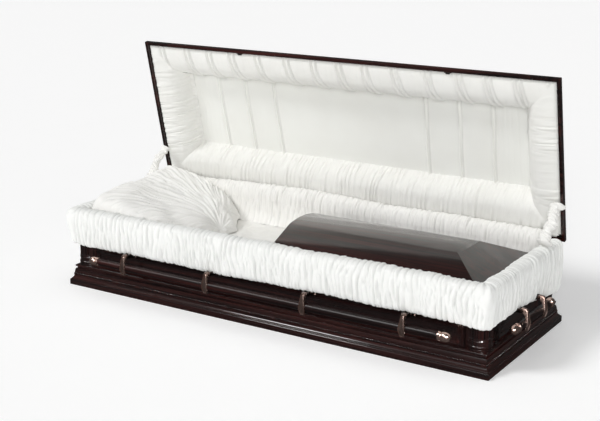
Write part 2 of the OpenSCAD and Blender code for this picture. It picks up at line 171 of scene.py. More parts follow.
def dressed(piece, finish, smooth=True):
    """The piece with one finish all over and its faces shaded smooth or flat."""
    piece.data.materials.clear()
    piece.data.materials.append(finish)
    piece.data.polygons.foreach_set("use_smooth", [smooth] * len(piece.data.polygons))
    return piece


def new_piece(name, mesh, finish, smooth=True):
    return dressed(in_scene(name, mesh), finish, smooth)


def grid_faces(rows, columns, wrap=False):
    index = np.arange(rows * columns).reshape(rows, columns)
    if wrap:
        index = np.hstack([index, index[:, :1]])
    corners = [index[:-1, :-1], index[1:, :-1], index[1:, 1:], index[:-1, 1:]]
    return np.stack(corners, axis=-1).reshape(-1, 4)


def cloth_piece(name, points, finish, facing):
    """A sheet over a grid of points whose middle faces the given way, with a UV map in metres."""
    rows, columns = points.shape[:2]
    faces = grid_faces(rows, columns)
    i, j = rows // 2, columns // 2
    normal = np.cross(points[i + 1, j] - points[i, j], points[i, j + 1] - points[i, j])
    if normal @ np.array(facing) < 0:
        faces = faces[:, ::-1]
    mesh = mesh_of(name, points, faces.tolist())
    across, down = cut_lengths(points)
    steps = np.linspace(0, across, rows), np.linspace(0, down, columns)
    uv = np.stack(np.meshgrid(*steps, indexing="ij"), axis=-1)
    layer = mesh.uv_layers.new(name="weave")
    layer.data.foreach_set("uv", uv.reshape(-1, 2)[faces.ravel()].ravel())
    # painted shade: each point's depth in a crease is kept on the mesh to darken the cloth there
    mark(mesh, "hollow", hollows(points, facing))
    return new_piece(name, mesh, finish)


def mark(mesh, name, values):
    """A number kept on every vertex of a mesh."""
    mesh.attributes.new(name, "FLOAT", "POINT").data.foreach_set("value", np.ravel(values))


def hollows(points, facing, span=5, full=0.0032):
    """How far, from 0 to 1, each point of a grid lies recessed between its neighbours along the grid: the
    mask for painted shade in the cloth's creases.
    """
    wide = np.pad(points, ((span + 1, span), (0, 0), (0, 0)), mode="edge")
    sums = np.cumsum(wide, axis=0)
    soft = (sums[2 * span + 1 :] - sums[: -2 * span - 1]) / (2 * span + 1)
    normal = np.cross(np.gradient(soft, axis=0), np.gradient(soft, axis=1))
    normal /= np.maximum(np.linalg.norm(normal, axis=-1, keepdims=True), 1e-12)
    if normal[len(points) // 2, points.shape[1] // 2] @ np.array(facing) < 0:
        normal = -normal
    return np.clip(((soft - points) * normal).sum(axis=-1) / full, 0, 1)


def cut_lengths(points):
    """Mean lengths of a grid along its first and its second direction: the flat cut."""
    return [float(np.linalg.norm(np.diff(points, axis=k), axis=-1).sum(axis=k).mean()) for k in (0, 1)]


def skin(name, rings, finish, smooth=True):
    """A closed skin over rings of points, capped at both ends."""
    rings = np.array(rings, float)
    rows, columns = rings.shape[:2]
    faces = grid_faces(rows, columns, wrap=True).tolist()
    faces += [list(range(columns)), list(range(rows * columns - 1, (rows - 1) * columns - 1, -1))]
    mesh = mesh_of(name, rings, faces)
    outward(mesh)
    return new_piece(name, mesh, finish, smooth)


def outward(mesh):
    bm = bmesh.new()
    bm.from_mesh(mesh)
    bmesh.ops.remove_doubles(bm, verts=bm.verts, dist=1e-6)
    bmesh.ops.recalc_face_normals(bm, faces=bm.faces)
    bm.to_mesh(mesh)
    bm.free()


def settled(piece):
    """The piece with its modifiers worked into its mesh."""
    depsgraph = bpy.context.evaluated_depsgraph_get()
    mesh = bpy.data.meshes.new_from_object(piece.evaluated_get(depsgraph))
    piece.modifiers.clear()
    piece.data = mesh
    return piece


def joined(name, pieces):
    """Several new pieces as one, with the materials each had."""
    with bpy.context.temp_override(active_object=pieces[0], selected_editable_objects=pieces):
        bpy.ops.object.join()
    pieces[0].name = name
    return pieces[0]


def eased(piece, width, segments=2, angle=34):
    """Small round-overs on a piece's crisp edges."""
    bevel = piece.modifiers.new("ease", "BEVEL")
    bevel.width, bevel.segments = width, segments
    bevel.limit_method, bevel.angle_limit = "ANGLE", math.radians(angle)
    settled(piece)
    piece.data.set_sharp_from_angle(angle=math.radians(angle))
    return piece


def put(piece, body, slot, *nodes):
    """The piece rides on a body and stands for CAD nodes, which it hides; the slot is not used."""
    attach(piece, body)
    if nodes:
        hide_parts(*nodes)
    return piece


def polished(node, finish, slot, edge=0.0008, crisp=28):
    """A merged copy of a CAD node, shaded smooth over its curves, with its edges eased."""
    bm = bmesh.new()
    bm.from_mesh(frame["nodes"][node].data)
    bmesh.ops.remove_doubles(bm, verts=bm.verts, dist=1e-5)
    bmesh.ops.dissolve_limit(bm, angle_limit=math.radians(0.4), verts=bm.verts, edges=bm.edges)
    mesh = bpy.data.meshes.new(node + "_polished")
    bm.to_mesh(mesh)
    bm.free()
    piece = new_piece(node + "_polished", mesh, finish)
    piece.data.set_sharp_from_angle(angle=math.radians(crisp))
    if edge:
        eased(piece, edge, angle=crisp)
    return put(piece, frame["nodes"][node]["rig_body"], slot, node)


# ---- finishes ----


class Wire:
    """A shader socket that can be added, taken away, multiplied and so on."""

    def __init__(self, finish, socket):
        self.finish, self.socket = finish, socket

    def math(self, operation, a, b=0.0):
        return self.finish.node("ShaderNodeMath", {"operation": operation}, {0: a, 1: b})

    def __add__(self, other):
        return self.math("ADD", self, other)

    def __sub__(self, other):
        return self.math("SUBTRACT", self, other)

    def __rsub__(self, other):
        return self.math("SUBTRACT", other, self)

    def __mul__(self, other):
        return self.math("MULTIPLY", self, other)

    def __gt__(self, other):
        return self.math("GREATER_THAN", self, other)

    __radd__, __rmul__ = __add__, __mul__


class Finish:
    """A material, with its Principled shader and the nodes that feed it."""

    def __init__(self, name, **fixed):
        self.material = bpy.data.materials.new(name)
        self.material.use_nodes = True
        self.tree = self.material.node_tree
        self.shader = self.tree.nodes["Principled BSDF"]
        for key, value in fixed.items():
            self.feed(self.shader.inputs[key.replace("_", " ")], value)

    def feed(self, socket, value):
        if isinstance(value, Wire):
            self.tree.links.new(value.socket, socket)
        else:
            socket.default_value = value

    def node(self, kind, settings=None, inputs=None, output=0):
        made = self.tree.nodes.new(kind)
        for key, value in (settings or {}).items():
            setattr(made, key, value)
        for key, value in (inputs or {}).items():
            self.feed(made.inputs[key], value)
        return Wire(self, made.outputs[output])

    def place(self, scale=(1, 1, 1), source="Object"):
        at = self.node("ShaderNodeTexCoord", output=source)
        return self.node("ShaderNodeMapping", {}, {"Vector": at, "Scale": scale})

    def axis(self, k):
        at = self.node("ShaderNodeTexCoord", output="Object")
        return self.node("ShaderNodeSeparateXYZ", {}, {0: at}, k)

    def noise(self, place, scale, detail=4.0, rough=0.55, twist=0.0):
        values = {"Vector": place, "Scale": scale, "Detail": detail, "Roughness": rough}
        return self.node("ShaderNodeTexNoise", {}, {**values, "Distortion": twist})

    def ranged(self, value, low, high, to_low=0.0, to_high=1.0):
        values = {"Value": value, "From Min": low, "From Max": high, "To Min": to_low, "To Max": to_high}
        return self.node("ShaderNodeMapRange", {}, values)

    def mix(self, share, a, b):
        a, b = ((*colour, 1) if isinstance(colour, tuple) else colour for colour in (a, b))
        return self.node("ShaderNodeMix", {"data_type": "RGBA"}, {0: share, 6: a, 7: b}, 2)

    def bump(self, height, strength, distance, under=None):
        values = {"Height": height, "Strength": strength, "Distance": distance}
        if under is not None:
            values["Normal"] = under
        return self.node("ShaderNodeBump", {}, values)

    def done(self, **varied):
        for key, value in varied.items():
            self.feed(self.shader.inputs[key.replace("_", " ")], value)
        return self.material


WOOD_DEEP = (0.0040, 0.0014, 0.0014)
WOOD_BROWN = (0.0185, 0.0044, 0.0038)
WOOD_RED = (0.056, 0.0100, 0.0075)


def polished_wood(name, grain, gloss=0.11, coat=1.0):
    """Dark red-brown hardwood under a clear gloss, its grain along one axis or round a frame."""
    wood = Finish(name, Coat_Weight=coat, Coat_Roughness=gloss, Coat_IOR=1.5, Specular_IOR_Level=0.12)
    fine = [70.0, 70.0, 70.0]
    if grain == "frame":
        x, y = wood.axis(0), wood.axis(1)
        end = (x.math("ABSOLUTE", x) - HALF_L) > (y.math("ABSOLUTE", y) - HALF_W)
        side_place, end_place = wood.place((1.6, 70, 70)), wood.place((70, 1.6, 70))
        values = {0: end, 4: side_place, 5: end_place}
        place = wood.node("ShaderNodeMix", {"data_type": "VECTOR"}, values, 1)
    else:
        fine[grain] = 1.6
        place = wood.place(fine)
    figure = wood.noise(place, 0.16, 3.0, 0.5, 1.2)
    streaks = wood.noise(place, 1.0, 6.0, 0.65, 0.4)
    pores = wood.noise(place, 4.5, 3.0, 0.6)
    warm = wood.ranged(figure, 0.42, 0.66)
    line = wood.ranged(streaks, 0.38, 0.62)
    body = wood.mix(line * 0.8, WOOD_DEEP, WOOD_BROWN)
    colour = wood.mix(warm * line * 0.8, body, WOOD_RED)
    colour = wood.mix(wood.ranged(pores, 0.60, 0.72) * 0.5, colour, WOOD_DEEP)
    rough = wood.ranged(streaks, 0.3, 0.7, 0.34, 0.46)
    relief = wood.bump(pores + streaks * 0.6, 0.05, 0.0003)
    return wood.done(Base_Color=colour, Roughness=rough, Normal=relief)


def crepe(name, pale, shade, crinkle=0.35, depth=0.5):
    """Fine crinkled cloth: crossed threads under small puckers, with painted shade in its creases as dark as
    depth says.
    """
    cloth = Finish(name, Sheen_Weight=0.25, Sheen_Roughness=0.5, Specular_IOR_Level=0.2)
    spacing = {"Vector": cloth.place((1, 1, 1), "UV"), "Scale": 260.0, "Distortion": 1.5}
    threads = [cloth.node("ShaderNodeTexWave", {"bands_direction": way}, spacing) for way in ("X", "Y")]
    weave = threads[0] * 0.5 + threads[1] * 0.5
    puckers = cloth.noise(cloth.place((1.0, 1.0, 0.45)), 330.0, 3.0, 0.6)
    drift = cloth.noise(cloth.place(), 5.0, 2.0)
    colour = cloth.mix(cloth.ranged(drift, 0.35, 0.65) * 0.6 + puckers * 0.3, pale, shade)
    # painted shade: the creases marked on the mesh are painted darker, a baked stand-in for their shade
    hollow = cloth.node("ShaderNodeAttribute", {"attribute_name": "hollow"}, {}, 2)
    colour = cloth.mix(hollow * depth, colour, tuple(0.70 * part for part in shade))
    rough = cloth.ranged(puckers, 0.3, 0.7, 0.82, 0.94)
    ground = cloth.bump(puckers, crinkle, 0.0006)
    return cloth.done(Base_Color=colour, Roughness=rough, Normal=cloth.bump(weave, 0.12, 0.0002, ground))


def antique_copper(name, shade_paint):
    """Copper plate, rubbed bright on the high places and dark with patina in the recessed ones, and darker
    still by the painted shade that the mesh marks and the darkening amount add.
    """
    metal = Finish(name, Metallic=1.0)
    sunk = metal.node("ShaderNodeAttribute", {"attribute_name": "sunk"}, {}, 2)
    stain = metal.noise(metal.place(), 220.0, 4.0, 0.6)
    worn = metal.noise(metal.place(), 45.0, 3.0, 0.5)
    dark = metal.ranged(sunk * 0.8 + stain * 0.35, 0.25, 0.8) + shade_paint
    colour = metal.mix(metal.ranged(worn, 0.35, 0.7), (0.76, 0.56, 0.49), (0.55, 0.37, 0.31))
    colour = metal.mix(metal.ranged(dark, 0.0, 1.0, 0.0, 0.95), colour, (0.050, 0.036, 0.032))
    rough = metal.ranged(stain + sunk * 0.5, 0.3, 1.1, 0.16, 0.42)
    return metal.done(Base_Color=colour, Roughness=rough, Normal=metal.bump(stain, 0.06, 0.0003))


def dark_steel(name):
    steel = Finish(name, Metallic=1.0)
    brushed = steel.noise(steel.place((4, 300, 300)), 1.0, 4.0)
    colour = steel.mix(brushed, (0.045, 0.04, 0.038), (0.11, 0.1, 0.095))
    return steel.done(Base_Color=colour, Roughness=steel.ranged(brushed, 0.3, 0.7, 0.3, 0.5))


WOOD_X = polished_wood("wood_lengthwise", 0)
WOOD_Y = polished_wood("wood_crosswise", 1)
WOOD_Z = polished_wood("wood_upright", 2, 0.04)
WOOD_BAR_X = polished_wood("bar_wood_lengthwise", 0, 0.32, 0.35)
WOOD_BAR_Y = polished_wood("bar_wood_crosswise", 1, 0.32, 0.35)
WOOD_FRAME = polished_wood("wood_mitred_frame", "frame")
THROW_CREPE = crepe("throw_crepe", (0.91, 0.915, 0.895), (0.85, 0.86, 0.835))
LINING_CREPE = crepe("lining_crepe", (0.91, 0.903, 0.875), (0.86, 0.85, 0.815))
BORDER_CREPE = crepe("lid_border_crepe", (0.88, 0.878, 0.845), (0.83, 0.825, 0.785), 0.35, 0.25)
PANEL_CREPE = crepe("lid_panel_crepe", (0.90, 0.905, 0.865), (0.86, 0.86, 0.815), 0.2, 0.3)
PILLOW_CREPE = crepe("pillow_crepe", (0.94, 0.935, 0.91), (0.90, 0.89, 0.86), 0.35, 0.4)
COPPER = antique_copper("antique_copper", 0.0)
# a darker copy of the copper for the ears: painted shade
SHADED_COPPER = antique_copper("copper_painted_shade", 1.1)
STEEL = dark_steel("dark_steel")


# ---- repeated small pieces ----


class Tree:
    """A Geometry Nodes tree with named inputs that ends in Realize Instances and Set Material."""

    def __init__(self, name, **sizes):
        self.tree = bpy.data.node_groups.new(name, "GeometryNodeTree")
        face = self.tree.interface
        face.new_socket(name="Geometry", in_out="INPUT", socket_type="NodeSocketGeometry")
        face.new_socket(name="Geometry", in_out="OUTPUT", socket_type="NodeSocketGeometry")
        self.keys = {}
        for key, value in sizes.items():
            socket = face.new_socket(name=key, in_out="INPUT", socket_type="NodeSocketFloat")
            socket.default_value = value
            self.keys[key] = socket.identifier
        self.given = self.tree.nodes.new("NodeGroupInput")

    def node(self, kind, settings=None, inputs=None):
        made = self.tree.nodes.new(kind)
        for key, value in (settings or {}).items():
            setattr(made, key, value)
        for key, value in (inputs or {}).items():
            if isinstance(value, bpy.types.NodeSocket):
                self.tree.links.new(value, made.inputs[key])
            else:
                made.inputs[key].default_value = value
        return made.outputs[0]

    def end(self, instances, finish):
        real = self.node("GeometryNodeRealizeInstances", {}, {0: instances})
        dressed = self.node("GeometryNodeSetMaterial", {}, {"Geometry": real, "Material": finish})
        out = self.tree.nodes.new("NodeGroupOutput")
        self.tree.links.new(dressed, out.inputs[0])

    def grow(self, name, points, edges, finish, facing=None, **sizes):
        """The tree's result on bare points, as a plain mesh piece."""
        mesh = mesh_of(name, points, [], edges)
        if facing is not None:
            layer = mesh.attributes.new("facing", "FLOAT_VECTOR", "POINT")
            layer.data.foreach_set("vector", np.array(facing, float).ravel())
        piece = in_scene(name, mesh)
        modifier = piece.modifiers.new("grow", "NODES")
        modifier.node_group = self.tree
        for key, value in sizes.items():
            modifier[self.keys[key]] = value
        return dressed(settled(piece), finish)


def bead_tree(finish):
    """Small upright beads, side by side along a line."""
    beads = Tree("bead_row", Pitch=0.0068, Width=0.0030, Depth=0.0034, Height=0.006)
    sizes = beads.given.outputs
    line = beads.node("GeometryNodeMeshToCurve", {}, {0: sizes["Geometry"]})
    spaced = beads.tree.nodes.new("GeometryNodeResampleCurve")
    spaced.mode = "LENGTH"
    beads.tree.links.new(line, spaced.inputs["Curve"])
    beads.tree.links.new(sizes["Pitch"], spaced.inputs["Length"])
    size = beads.node("ShaderNodeCombineXYZ", {}, {0: sizes["Width"], 1: sizes["Depth"], 2: sizes["Height"]})
    ball = beads.node("GeometryNodeMeshUVSphere", {}, {"Segments": 8, "Rings": 5, "Radius": 1.0})
    bead = beads.node("GeometryNodeTransform", {}, {"Geometry": ball, "Scale": size})
    tangent = beads.node("GeometryNodeInputTangent")
    turn = beads.node("FunctionNodeAlignRotationToVector", {"axis": "X"}, {"Vector": tangent})
    placed = {"Points": spaced.outputs[0], "Instance": bead, "Rotation": turn}
    beads.end(beads.node("GeometryNodeInstanceOnPoints", {}, placed), finish)
    return beads


def stud_tree(finish):
    """Low domed screw heads that face the way each point says."""
    studs = Tree("stud_heads", Radius=0.004, Height=0.0024)
    sizes = studs.given.outputs
    radius = sizes["Radius"]
    size = studs.node("ShaderNodeCombineXYZ", {}, {0: radius, 1: radius, 2: sizes["Height"]})
    ball = studs.node("GeometryNodeMeshUVSphere", {}, {"Segments": 16, "Rings": 9, "Radius": 1.0})
    head = studs.node("GeometryNodeTransform", {}, {"Geometry": ball, "Scale": size})
    facing = studs.node("GeometryNodeInputNamedAttribute", {"data_type": "FLOAT_VECTOR"}, {"Name": "facing"})
    turn = studs.node("FunctionNodeAlignRotationToVector", {"axis": "Z"}, {"Vector": facing})
    placed = {"Points": sizes["Geometry"], "Instance": head, "Rotation": turn}
    studs.end(studs.node("GeometryNodeInstanceOnPoints", {}, placed), finish)
    return studs


# ---- wooden parts ----

LENGTHWISE = ("front_side", "rear_side", "foot_cover", "bottom_board")
CROSSWISE = ("head_end", "foot_end")
FRAMES = ("base_moulding", "top_rail", "lid_edge", "cover_ledge", "lid_crown")
POSTS = ("post_front_head", "post_front_foot", "post_rear_head", "post_rear_foot")


def wooden_parts():
    for nodes, finish in ((LENGTHWISE, WOOD_X), (CROSSWISE, WOOD_Y), (FRAMES, WOOD_FRAME)):
        for node in nodes:
            polished(node, finish, "wood")
    for node in POSTS:
        polished(node, WOOD_Z, "wood", edge=0)


def moulding_beads():
    """The fine bead row that runs round the base moulding under its swelling."""
    beads = bead_tree(WOOD_Z)
    inset, z = 0.0165, 0.0505
    x, y = HALF_L - inset, HALF_W - inset
    corners = [(-x, -y, z), (x, -y, z), (x, y, z), (-x, y, z)]
    edges = [(0, 1), (1, 2), (2, 3), (3, 0)]
    put(beads.grow("moulding_beads", corners, edges, WOOD_Z), "case", "wood")


# ---- throw cloth, linings and apron ----

CORNER_IN = 0.055
FOLD_PITCH, CREASE_PITCH = 0.027, 0.026
THROW_REAR_Y = HALF_W - 0.024


def throw_path(count):
    """Distance, centre and outward way at even steps round the front and both ends."""
    x, y = HALF_L - CORNER_IN, HALF_W - CORNER_IN
    bend = math.pi / 2 * (CORNER_IN - 0.02)
    end_run, front_run = THROW_REAR_Y + y, 2 * x
    total = 2 * end_run + 2 * bend + front_run
    u = np.linspace(0, total, count)
    turn = (np.clip(u - end_run, 0, bend) + np.clip(u - end_run - bend - front_run, 0, bend)) / bend
    angle = math.pi + turn * math.pi / 2
    centre_y = THROW_REAR_Y - np.clip(u, 0, end_run) + np.clip(u - (total - end_run), 0, end_run)
    centre_x = -x + np.clip(u - end_run - bend, 0, front_run)
    way = np.stack([np.cos(angle), np.sin(angle)], axis=1)
    return u, np.stack([centre_x, centre_y], axis=1), way


def corner_stretch(way, z):
    """How far the cloth stands out at a corner: nearly square on the rail and rounder towards the hem."""
    power = (4.2 - 1.5 * ease(0.02, 0.12, SEAM_Z - z))[None, :]
    return (np.abs(way[:, :1]) ** power + np.abs(way[:, 1:]) ** power) ** (-1 / power)


def throw_surface(knots, count, steps, depth, seed, fall=None):
    """A swept section of the throw cloth, thrown into folds that share their places with its other part."""
    section, normal, _ = smooth_line(knots, count)
    u, centre, way = throw_path(steps)
    square = corner_stretch(way, section[:, 1])
    across = np.abs(section[:, 1] - SEAM_Z)[None, :] * np.sign(SEAM_Z - section[:, 1])[None, :]
    along, down = np.broadcast_arrays(u[:, None], across)
    fold = 0.55 * gathers(along, down + 1.0, FOLD_PITCH, seed, 0.8)
    fold = fold + 0.75 * creases(along, down + 1.0, CREASE_PITCH, 0.11, seed + 20)
    ripple = wander(along / 0.11, down / 0.09, seed + 7)
    lift = depth[None, :] * (fold - 0.55) + 0.0035 * ripple
    inset = section[:, 0] + lift * normal[:, 0]
    height = section[:, 1] + lift * normal[:, 1]
    if fall is not None:
        height = SEAM_Z - (SEAM_Z - height) * fall(u, centre)[:, None]
    out = (CORNER_IN - inset) * square + 0.012 * (square - 1)
    flat = centre[:, None, :] + way[:, None, :] * out[..., None]
    return np.concatenate([flat, height[..., None]], axis=-1)


ROLL_KNOTS = [(0.066, SEAM_Z), (0.0645, 0.358), (0.054, 0.366), (0.037, 0.3695)]
ROLL_KNOTS += [(0.021, 0.367), (0.009, 0.3595), (0.004, SEAM_Z), (0.0045, 0.343)]
SKIRT_KNOTS = [(0.004, SEAM_Z), (0.001, 0.333), (0.001, 0.305), (0.004, 0.275), (0.008, 0.245)]
SKIRT_KNOTS += [(0.0105, 0.220), (0.0135, 0.206), (0.019, 0.1975), (0.026, 0.199)]
THROW_STEPS = 1300


def skirt_fall(u, centre):
    """How far the hem hangs along the path: long waves, and lower towards the hinge side."""
    waves = 0.035 * wander(u / 0.31, u * 0, 41) + 0.015 * wander(u / 0.09, u * 0, 42)
    on_end = np.abs(centre[:, 0]) > HALF_L - CORNER_IN - 1e-6
    sag = np.interp(centre[:, 1], [-0.31, -0.10, 0.15, THROW_REAR_Y], [0.0, 0.06, 0.18, 0.33])
    return 1.0 + waves + on_end * sag


def throw_cloth():
    """The cloth thrown over the rim: a stuffed roll on the rim and a skirt gathered below it."""
    depth = np.interp(np.linspace(0, 1, 17), [0, 0.25, 0.7, 0.92, 1], [0.004, 0.0075, 0.0085, 0.0095, 0.0095])
    roll = throw_surface(ROLL_KNOTS, 17, THROW_STEPS, depth, 3)
    piece = cloth_piece("throw_roll_cloth", roll, THROW_CREPE, (0, 0, 1))
    put(piece, "case", "throw_cloth", "throw_roll")
    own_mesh(piece)
    depth = np.interp(np.linspace(0, 1, 30), [0, 0.5, 0.85, 1], [0.0095, 0.0115, 0.0105, 0.005])
    skirt = throw_surface(SKIRT_KNOTS, 30, THROW_STEPS, depth, 3, skirt_fall)
    piece = cloth_piece("throw_skirt_cloth", skirt, THROW_CREPE, (0, -1, 0))
    put(piece, "case", "throw_cloth", "throw_skirt")


LINING_TURN = 0.025
LINING_IN = 0.009
LINING_PITCH = 0.0238
REAR_START = 2 * (2 * (INNER_W - LINING_TURN) + math.pi / 2 * LINING_TURN) + 2 * (INNER_L - LINING_TURN)
REAR_START += math.pi / 2 * LINING_TURN


def lining_path(count):
    """Points and inward ways at even steps round the inner walls, from the rear head corner."""
    x, y = INNER_L - LINING_TURN, INNER_W - LINING_TURN
    quarter = math.pi / 2 * LINING_TURN
    runs = [((-x, y), (0, -1), 2 * y), ((-x, -y), (1, 0), 2 * x)]
    runs += [((x, -y), (0, 1), 2 * y), ((x, y), (-1, 0), 2 * x)]
    total = sum(run[2] for run in runs) + 4 * quarter
    u = np.linspace(0, total, count)
    centre, way = np.zeros((count, 2)), np.zeros((count, 2))
    start = 0.0
    for (cx, cy), (dx, dy), length in runs:
        here = (u >= start) & (u <= start + length)
        centre[here] = np.array([cx, cy]) + (u[here] - start)[:, None] * np.array([dx, dy])
        way[here] = (-dy, dx)
        start += length
        here = (u > start) & (u <= start + quarter + 1e-9)
        angle = math.atan2(dx, -dy) + (u[here] - start) / quarter * math.pi / 2
        centre[here] = (cx + dx * length, cy + dy * length)
        way[here] = np.stack([np.cos(angle), np.sin(angle)], axis=1)
        start += quarter
    return u, centre, way


def wall_gathers(u, below):
    """Folds of the lining, which the apron above the rear rim carries on."""
    fold = 0.45 * gathers(u, below + 2.0, LINING_PITCH, 11, 0.8)
    fold = fold + 0.8 * creases(u, below + 2.0, CREASE_PITCH, 0.10, 13)
    return fold - 0.5 + 0.5 * wander(u / 0.16, below / 0.12, 12)


def side_lining():
    """Gathered cloth on the inner walls from the bed to the rim."""
    knots = [(LINING_IN + 0.030, BED_Z - 0.004), (LINING_IN + 0.018, 0.246), (LINING_IN + 0.006, 0.268)]
    knots += [(LINING_IN + 0.002, 0.295), (LINING_IN - 0.001, 0.325), (LINING_IN - 0.002, SEAM_Z)]
    section, _, _ = smooth_line(knots, 22)
    u, centre, way = lining_path(1500)
    along, below = np.broadcast_arrays(u[:, None], SEAM_Z - section[:, 1][None, :])
    inset = section[:, 0] + 0.0072 * wall_gathers(along, below)
    flat = centre[:, None, :] - way[:, None, :] * (LINING_TURN - inset)[..., None]
    height = np.broadcast_to(section[:, 1], inset.shape)
    points = np.concatenate([flat, height[..., None]], axis=-1)
    piece = cloth_piece("side_lining_cloth", points, LINING_CREPE, (-1, 0, 0))
    put(piece, "case", "lining_cloth", "side_lining")


APRON_LAP = 0.010
APRON_PUFF = [(-1.0, 0.80), (-0.82, 0.80), (-0.55, 0.95), (-0.26, 1.12), (-0.04, 1.05)]
APRON_PUFF += [(0.28, 0.90), (0.58, 0.98), (0.84, 0.88), (1.0, 0.85)]


def hinge_apron():
    """Gathered cloth that rises from the rear lining and covers the hinge."""
    front, back = INNER_W - LINING_IN + 0.002, HALF_W - 0.0135
    knots = [(back, SEAM_Z), (back - 0.001, 0.385), (back - 0.004, 0.400), (back - 0.014, 0.406)]
    knots += [(front + 0.028, 0.401), (front + 0.012, 0.388), (front + 0.003, 0.367), (front, SEAM_Z)]
    knots += [(front - 0.0012, SEAM_Z - APRON_LAP)]
    section, normal, down = smooth_line(knots, 24)
    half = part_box("hinge_apron")[1].x
    x = np.linspace(-half, half, 1150)
    puff_x, puff = smooth_line(APRON_PUFF, 200)[0].T
    rise = np.interp(x, puff_x, puff)[:, None]
    below = np.broadcast_to(down - down[-1] + APRON_LAP, (len(x), len(down)))
    u = REAR_START + (INNER_L - LINING_TURN - x)[:, None] + 0 * below
    fade = ease(0, 0.2, np.linspace(0, 1, len(down)))[None, :]
    lift = 0.0075 * wall_gathers(u, below) * (0.4 + 0.6 * fade)
    y = section[:, 0] + lift * normal[:, 0]
    above = section[:, 1] - SEAM_Z
    z = SEAM_Z + np.where(above > 0, above * rise, above) + lift * normal[:, 1]
    points = np.stack([np.broadcast_to(x[:, None], y.shape), y, z], axis=-1)
    piece = cloth_piece("hinge_apron_cloth", points, LINING_CREPE, (0, 0, 1))
    put(piece, "case", "lining_cloth", "hinge_apron")
    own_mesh(piece)


# ---- bed and pillow ----

TUFT = (-0.462, 0.005)
PILLOW_FOOT_X = -0.436


def mattress():
    """The padded bed, its cover pulled into soft wrinkles where it shows."""
    low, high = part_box("mattress")
    half_l, half_w, corner = high.x, high.y, 0.018
    fine = np.linspace(-0.47, 0.07, 110)
    x = np.concatenate([np.linspace(-half_l, -0.49, 14), fine, np.linspace(0.09, half_l, 22)])
    top_y = np.linspace(half_w - corner, corner - half_w, 120)
    bend = np.linspace(0, math.pi / 2, 6)
    arc_y, arc_z = half_w - corner * (1 - np.cos(bend)), high.z - corner * (1 - np.sin(bend))
    y = np.concatenate([[half_w], arc_y[:-1], top_y, -arc_y[:-1][::-1], [-half_w]])
    z = np.concatenate([[low.z], arc_z[:-1], np.full(120, high.z), arc_z[:-1][::-1], [low.z]])
    bed_x, bed_y = np.meshgrid(x, y, indexing="ij")
    bed_z = np.broadcast_to(z, bed_x.shape).copy()
    reach = np.hypot(bed_x - TUFT[0], bed_y - TUFT[1])
    ray = np.arctan2(bed_y - TUFT[1], bed_x - TUFT[0])
    pucker = gathers(ray * 0.3, reach, 0.05, 51, 0.6) * np.exp(-((reach / 0.16) ** 2))
    wrinkle = wander(bed_x / 0.05 + bed_y / 0.09, bed_y / 0.06, 52)
    wrinkle = wrinkle + 0.5 * wander(bed_x / 0.022, bed_y / 0.04, 53)
    on_top = bed_z > high.z - corner * 0.3
    bed_z += on_top * (0.0038 * wrinkle + 0.009 * pucker - 0.004)
    end = 1 - 0.03 * (np.abs(bed_x) > half_l - 1e-6)
    rings = np.stack([bed_x, bed_y * end, low.z + (bed_z - low.z) * end], axis=-1)
    piece = skin("mattress_cover", rings, LINING_CREPE)
    put(piece, "case", "lining_cloth", "mattress")


def pillow_top(x, y):
    """Height of the pillow above the bed: a wedge that rises towards the head and the rear."""
    knots = [-1.0, -0.95, -0.85, -0.74, -0.61, -0.50, -0.42]
    rise = np.interp(x, knots, [0.200, 0.210, 0.196, 0.160, 0.128, 0.100, 0.082])
    dip = 0.010 * np.exp(-(((y + 0.10 + 0.5 * (x + 0.75)) / 0.06) ** 2)) * ease(-0.95, -0.8, x)
    return rise + 0.055 * y - dip


def pillow_folds(x, y):
    """Uneven gathers that run from the head end and close in on the tuft."""
    reach = np.hypot(x - TUFT[0], y - TUFT[1])
    ray = np.arctan2(y - TUFT[1], TUFT[0] - x) + 0.25 * reach
    near = creases(ray, reach, 0.24, 0.14, 21)
    far = creases(ray * 0.42 + 0.012 * wander(x / 0.07, y / 0.07, 25), reach, 0.034, 0.15, 24)
    share = ease(0.12, 0.30, reach)
    fold = near * (1 - share) + far * share - 0.5
    return fold * ease(0.0, 0.06, reach) * 0.0145 + 0.009 * wander(x / 0.13, y / 0.10, 23)


def pillow_plan(half_y, head_x, count):
    """Places of the pillow's grid from above, and how near each is to an end's and a side's seam."""
    full = math.pi / 2 * 0.97
    steps = np.sin(np.linspace(-1, 1, count) * full) / math.sin(full)
    ends, sides = np.meshgrid(steps, steps, indexing="ij")
    y = half_y * sides * (1 - 0.03 * np.abs(ends) ** 8)
    foot = PILLOW_FOOT_X - 0.11 * ease(0.06, 0.30, y) - 0.05 * ease(0.04, 0.26, -y)
    foot = foot + 0.008 * wander(y / 0.05, y * 0, 27)
    head = head_x - 0.010 + 0.008 * wander(y / 0.045, y * 0, 28)
    return head + (foot - head) * (ends + 1) / 2, y, ends, sides


def pillow_heights(x, y, ends, sides):
    """Heights of the pillow's upper and lower cover above the bed."""
    fall = np.where(ends < 0, np.abs(ends) ** 14, np.abs(ends) ** 4.5)
    edge = ((1 - fall) * (1 - np.abs(sides) ** 14)) ** (0.42 + 0.28 * ease(0.0, 0.8, ends))
    seam = 0.45 - 0.43 * ease(0.0, 0.85, ends)
    top, folds = pillow_top(x, y), pillow_folds(x, y)
    pinch = 0.035 * np.exp(-((np.hypot(x - TUFT[0], y - TUFT[1]) / 0.035) ** 2))
    at_seam = 0.6 * folds * (1 - edge)
    upper = top * (seam + (1 - seam) * edge) + (folds - pinch) * edge + at_seam
    return upper, np.maximum(top * seam * (1 - edge) + at_seam, 0)


